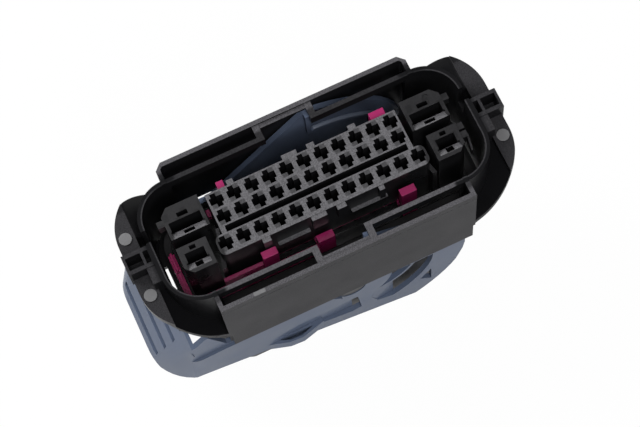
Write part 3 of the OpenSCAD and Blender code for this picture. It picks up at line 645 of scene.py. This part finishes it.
# Sub-assemblies
@dataclass
class HousingShell:
    """Outer housing: shroud, lever guards and end flanges, with the marks of the ejector pins."""

    edge: SoftEdge = SoftEdge(0.12)
    pip_d_mm: float = 2.8
    pip_inset_mm: float = 2.0
    pip_y_mm: float = 6.8
    flange_drop_mm: float = 3.8
    pip_h_mm: float = 0.23
    guard_h_mm: float = 0.3
    face_thickness_mm: float = 0.12
    pad_from_middle_mm: float = 20.1
    pad_l_mm: float = 2.6
    pad_wall_share: float = 0.84
    pad_square: float = 0.25
    guard_wall_mm: float = 1.0
    flange_r_mm: float = 12.0
    flange_side_mm: float = 0.15
    clip_overhang_mm: float = 0.4
    shroud: ShroudPlan = SHROUD
    web_x_mm: Span = (30.8, 38.9)
    web_stations: int = 48
    web_slope: float = 1.38
    web_top_x_mm: float = 38.37
    web_top_drop_mm: float = 0.04
    web_bend_mm: float = 0.3
    web_floor_x_drop_mm: Span = (39.9, 4.9)
    web_least_h_mm: float = 0.3
    web_in_wall_mm: float = 0.2
    web_past_corner_mm: float = 0.8
    lip_level_mm: Span = (32.22, 32.8)
    lip_w_mm: float = 0.5
    lip_turn_deg: float = 38.0
    lip_arc_stations: int = 24
    seam_mm: float = 0.02

    def corners_mm(self) -> tuple[np.ndarray, np.ndarray]:
        """Returns the lowest and highest corners of the solid housing in millimetres."""
        low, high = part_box("outer_housing")
        return np.array(low) / MM, np.array(high) / MM

    def build(self) -> None:
        """Makes the crowns of the corner webs, the lip of the drain gap and the ejector marks."""
        self.build_webs()
        self.build_lip()
        self.build_marks()

    def build_webs(self) -> None:
        """Raises the far corner webs to the flange's face, so that their edge carries on its outline.

        Along the row direction x the top falls from the flange's face at an even slope after a soft
        bend, the width runs from inside the shroud's corner arc to the flange's corner arc, and the
        underside lies inside the solid web.
        """
        _, high = self.corners_mm()
        face_z = high[2] - self.guard_h_mm
        x = np.linspace(*self.web_x_mm, self.web_stations)
        arc_x = high[0] - self.clip_overhang_mm - self.flange_r_mm
        arc_y = high[1] - self.flange_side_mm - self.flange_r_mm
        outer = arc_y + np.sqrt(self.flange_r_mm ** 2 - np.maximum(x - arc_x, 0.0) ** 2) - self.seam_mm
        corner_x, corner_y = self.shroud.corner_mm()
        inner_r = self.shroud.corner_r_mm - self.web_in_wall_mm
        reach = np.sqrt(np.maximum(inner_r ** 2 - (x - corner_x) ** 2, 0.0))
        inner = corner_y + np.maximum(reach, self.web_past_corner_mm)
        run = self.web_top_x_mm - x
        fall = self.web_slope * (run + np.hypot(run, self.web_bend_mm)) / 2
        top = face_z - self.flange_drop_mm - self.web_top_drop_mm - fall
        floor_x, floor_drop = self.web_floor_x_drop_mm
        bottom = np.minimum(face_z - floor_drop - self.web_slope * (floor_x - x), top - self.web_least_h_mm)
        zero = np.zeros_like(x)
        spine = np.stack([x, (inner + outer) / 2, (top + bottom) / 2], axis=-1)
        side = np.stack([zero, (outer - inner) / 2, zero], axis=-1)
        up = np.stack([zero, zero, (top - bottom) / 2], axis=-1)
        crowns = [swept_bar(spine * (end, 1, 1), side, up) for end in (-1, 1)]
        add_piece(closed_mesh("corner_web_crowns", crowns), HOUSING_BLACK, Body.CONNECTOR)

    def build_lip(self) -> None:
        """Makes the lip inside the handle end of the shroud that narrows the drain gap to a slit.

        The spine follows the shroud's inner wall: an arc, the straight end and the other arc.
        """
        inner_r = self.shroud.corner_r_mm - self.shroud.wall_mm
        turn = np.radians(np.linspace(0.0, self.lip_turn_deg, self.lip_arc_stations))
        arc = np.stack([np.cos(turn), np.sin(turn)], axis=-1)
        out = np.concatenate([arc[::-1] * (1, -1), arc])
        corner = np.tile(self.shroud.corner_mm(), (len(arc), 1))
        middle = np.concatenate([corner * (1, -1), corner])
        plan = (middle + out * (inner_r - self.lip_w_mm / 2 + self.seam_mm)) * (-1, 1)
        level = np.full(len(out), np.mean(self.lip_level_mm))
        zero = np.zeros(len(out))
        spine = np.column_stack([plan, level])
        side = np.column_stack([out * (-1, 1) * self.lip_w_mm / 2, zero])
        up = np.column_stack([zero, zero, np.full(len(out), np.ptp(self.lip_level_mm) / 2)])
        add_piece(closed_mesh("drain_lip", [swept_bar(spine, side, up)]), HOUSING_BLACK,
                  Body.CONNECTOR)

    def build_marks(self) -> None:
        """Makes the rough faces of the three flange pips and of the ejector pad on the near guard, whose
        grey colour is painted light.
        """
        low, high = self.corners_mm()
        pip_x = high[0] - self.clip_overhang_mm - self.pip_inset_mm
        face_z = high[2] - self.guard_h_mm
        pip_z = face_z - self.flange_drop_mm + self.pip_h_mm
        pip_half = (self.pip_d_mm / 2, self.pip_d_mm / 2, self.face_thickness_mm / 2)
        spots = [(-pip_x, self.pip_y_mm), (-pip_x, -self.pip_y_mm), (pip_x, -self.pip_y_mm)]
        pips = [pillow((x, y, pip_z), pip_half) for x, y in spots]
        add_piece(closed_mesh("flange_pip_faces", pips), PIP_PAINTED_LIGHT, Body.CONNECTOR)
        pad_at = (-self.pad_from_middle_mm, low[1] + self.guard_wall_mm / 2, high[2])
        pad_half = (self.pad_l_mm / 2, self.pad_wall_share * self.guard_wall_mm / 2,
                    self.face_thickness_mm / 2)
        pad = pillow(pad_at, pad_half, self.pad_square)
        add_piece(closed_mesh("guard_ejector_pad", [pad]), PIP_PAINTED_LIGHT, Body.CONNECTOR)

    def dress(self) -> None:
        """Gives the housing its textured black finish and soft edges."""
        dress_node("outer_housing", HOUSING_BLACK, self.edge)


@dataclass
class ContactField:
    """Contact carrier with its rows of keyed cavities and power collars."""

    edge: SoftEdge = SoftEdge(0.07)

    def dress(self) -> None:
        """Gives the carrier its satin black finish and fine edges."""
        dress_node("contact_carrier", CARRIER_BLACK, self.edge)


@dataclass
class SecondaryLock:
    """Magenta lock frame round the carrier."""

    edge: SoftEdge = SoftEdge(0.12)

    def dress(self) -> None:
        """Gives the lock its magenta finish and soft edges."""
        dress_node("secondary_lock", LOCK_MAGENTA, self.edge)


@dataclass
class WireSide:
    """Seals, retainer and cover behind the carrier."""

    cover_edge: SoftEdge = SoftEdge(0.2)

    def dress(self) -> None:
        """Gives both seals, the retainer and the cover their finishes."""
        dress_node("interface_seal", SEAL_CHARCOAL)
        dress_node("wire_seal", MAT_RUSSET)
        dress_node("seal_retainer", RETAINER_BLACK)
        dress_node("wire_cover", COVER_BLACK, self.cover_edge)


@dataclass
class MateLever:
    """Slate lever with its two cam arms and ribbed handle."""

    edge: SoftEdge = SoftEdge(0.25, segments=3)
    joint: str = "lever_swing"
    cam_start_deg: float = 74.0
    cam_start_r_mm: float = 19.5
    cam_growth_mm: float = 0.097
    cam_y_mm: float = 14.8
    bead_deg: Span = (73.0, 22.0)
    bead_stations: int = 60
    bead_half_mm: Span = (0.5, 0.45)
    bead_square: float = 0.8

    def pivot_mm(self) -> np.ndarray:
        """Returns the middle of the lever's hinge in millimetres."""
        hinge = next(joint for joint in frame["joints"] if joint["name"] == self.joint)
        return np.array(hinge["pos_m"]) / MM

    def build(self) -> None:
        """Rounds the top of the cam wall on both arms with a polished bead, whose lighter colour is a
        painted highlight.

        The spine is a spiral about the pivot whose radius grows evenly with the turn, and the
        section is nearly an ellipse that stands on the spiral.
        """
        turn = np.linspace(*self.bead_deg, self.bead_stations)
        radius = self.cam_start_r_mm + (self.cam_start_deg - turn) * self.cam_growth_mm
        zero = np.zeros_like(turn)
        out = np.stack([np.cos(np.radians(turn)), zero, np.sin(np.radians(turn))], axis=-1)
        spine = self.pivot_mm() + (0.0, self.cam_y_mm, 0.0) + out * radius[:, None]
        half_w, half_h = self.bead_half_mm
        side = np.stack([zero, np.full_like(turn, half_w), zero], axis=-1)
        beads = [swept_bar(spine * (1, end, 1), side, out * half_h, self.bead_square) for end in (-1, 1)]
        add_piece(closed_mesh("cam_wall_beads", beads), LEVER_HIGHLIGHT, Body.LEVER)

    def dress(self) -> None:
        """Gives the lever its satin slate finish and round edges."""
        dress_node("mate_lever", LEVER_SLATE, self.edge)


# Studio
@dataclass(frozen=True)
class Softbox:
    """A square soft lamp that faces the middle of the plug."""

    name: str
    at_mm: Point
    watts: float
    size_mm: float
    aim_mm: Point = (0.0, 0.0, 40.0)

    def hang(self) -> None:
        """Hangs the lamp in its place, turned to its aim."""
        lamp = bpy.data.lights.new(self.name, "AREA")
        lamp.energy = self.watts
        lamp.size = self.size_mm * MM
        hung = bpy.data.objects.new(self.name, lamp)
        spot = Vector(self.at_mm) * MM
        turn = (Vector(self.aim_mm) * MM - spot).to_track_quat("-Z", "Y")
        hung.matrix_world = Matrix.Translation(spot) @ turn.to_matrix().to_4x4()
        bpy.context.scene.collection.objects.link(hung)
        LOG.info("hung %s", self.name)


@dataclass
class Studio:
    """White floor, soft lamps and the camera that took the photograph."""

    camera_at_mm: Point = (-36.38, -133.06, 414.91)
    camera_forward: Point = (0.08997, 0.32813, -0.94034)
    camera_right: Point = (0.90644, -0.41817, -0.05919)
    focal_px: float = 1855.74
    image_w_px: float = 640.0
    sensor_mm: float = 36.0
    clip_mm: Span = (10.0, 10000.0)
    floor_half_mm: float = 1500.0
    floor_tone: float = 0.9
    floor_glow: float = 0.97
    mirrored_glow: float = 0.35
    sky: float = 0.04
    lamps: tuple[Softbox, ...] = (
        Softbox("left_softbox", at_mm=(-520.0, 600.0, 700.0), watts=7.0, size_mm=450.0),
        Softbox("near_softbox", at_mm=(60.0, -760.0, 800.0), watts=4.6, size_mm=400.0),
        Softbox("high_fill", at_mm=(-60.0, -420.0, 1050.0), watts=4.0, size_mm=350.0),
        Softbox("back_softbox", at_mm=(100.0, 1000.0, 220.0), watts=6.0, size_mm=600.0),
        Softbox("top_panel", at_mm=(-280.0, 346.0, 1050.0), watts=1.2, size_mm=1000.0),
    )

    def build_camera(self) -> None:
        """Sets up the camera from its place and two of its directions."""
        lens = bpy.data.cameras.new("photo_camera")
        lens.sensor_fit = "HORIZONTAL"
        lens.sensor_width = self.sensor_mm
        lens.lens = self.focal_px * self.sensor_mm / self.image_w_px
        lens.clip_start, lens.clip_end = (distance * MM for distance in self.clip_mm)
        camera = bpy.data.objects.new("photo_camera", lens)
        forward = Vector(self.camera_forward).normalized()
        right = Vector(self.camera_right)
        right = (right - right.dot(forward) * forward).normalized()
        turn = Matrix((right, right.cross(forward), -forward)).transposed().to_4x4()
        camera.matrix_world = Matrix.Translation(Vector(self.camera_at_mm) * MM) @ turn
        bpy.context.scene.collection.objects.link(camera)
        bpy.context.scene.camera = camera

    def floor_paper(self) -> bpy.types.Material:
        """Makes paper that looks white where it is seen, dimmer where it is mirrored, and keeps a shadow.

        Returns:
            The floor's material.
        """
        paper = bpy.data.materials.new("studio_paper")
        graph = Graph(paper)
        matt = graph.add("BsdfDiffuse", Color=rgba(WHITE, self.floor_tone))
        glow = graph.add("Emission", Color=rgba(WHITE), Strength=1.0)
        path = graph.add("LightPath").outputs
        mirrored = graph.math("MAXIMUM", path["Is Glossy Ray"], path["Is Transmission Ray"])
        shown = graph.math("MAXIMUM", graph.math("MULTIPLY", path["Is Camera Ray"], self.floor_glow),
                           graph.math("MULTIPLY", mirrored, self.mirrored_glow))
        both = graph.add("MixShader", Fac=shown)
        graph.feed(both.inputs[1], matt.outputs["BSDF"])
        graph.feed(both.inputs[2], glow.outputs["Emission"])
        graph.add("OutputMaterial", Surface=both.outputs["Shader"])
        return paper

    def build_floor(self) -> None:
        """Lays the square floor that the plug lies on."""
        corners = np.array([[-1, -1, 0], [1, -1, 0], [1, 1, 0], [-1, 1, 0]], dtype=float)
        mesh = bpy.data.meshes.new("studio_floor")
        mesh.from_pydata((corners * self.floor_half_mm * MM).tolist(), [], [(0, 1, 2, 3)])
        mesh.materials.append(self.floor_paper())
        floor = bpy.data.objects.new("studio_floor", mesh)
        bpy.context.scene.collection.objects.link(floor)

    def build_sky(self) -> None:
        """Sets an even white world at a low level."""
        scene = bpy.context.scene
        scene.world = scene.world or bpy.data.worlds.new("studio_world")
        scene.world.use_nodes = True
        back = scene.world.node_tree.nodes.get("Background")
        back.inputs["Color"].default_value = rgba(WHITE)
        back.inputs["Strength"].default_value = self.sky

    def build(self) -> None:
        """Builds the whole studio."""
        bpy.context.scene.view_settings.view_transform = "Standard"
        self.build_camera()
        self.build_floor()
        self.build_sky()
        for lamp in self.lamps:
            lamp.hang()


def main() -> None:
    """Builds and dresses every sub-assembly, then the studio."""
    logging.basicConfig(level=logging.INFO, format="%(name)s: %(message)s")
    housing, lever = HousingShell(), MateLever()
    housing.build()
    lever.build()
    for part in (housing, ContactField(), SecondaryLock(), WireSide(), lever):
        part.dress()
    Studio().build()


if __name__ == "__main__":
    main()
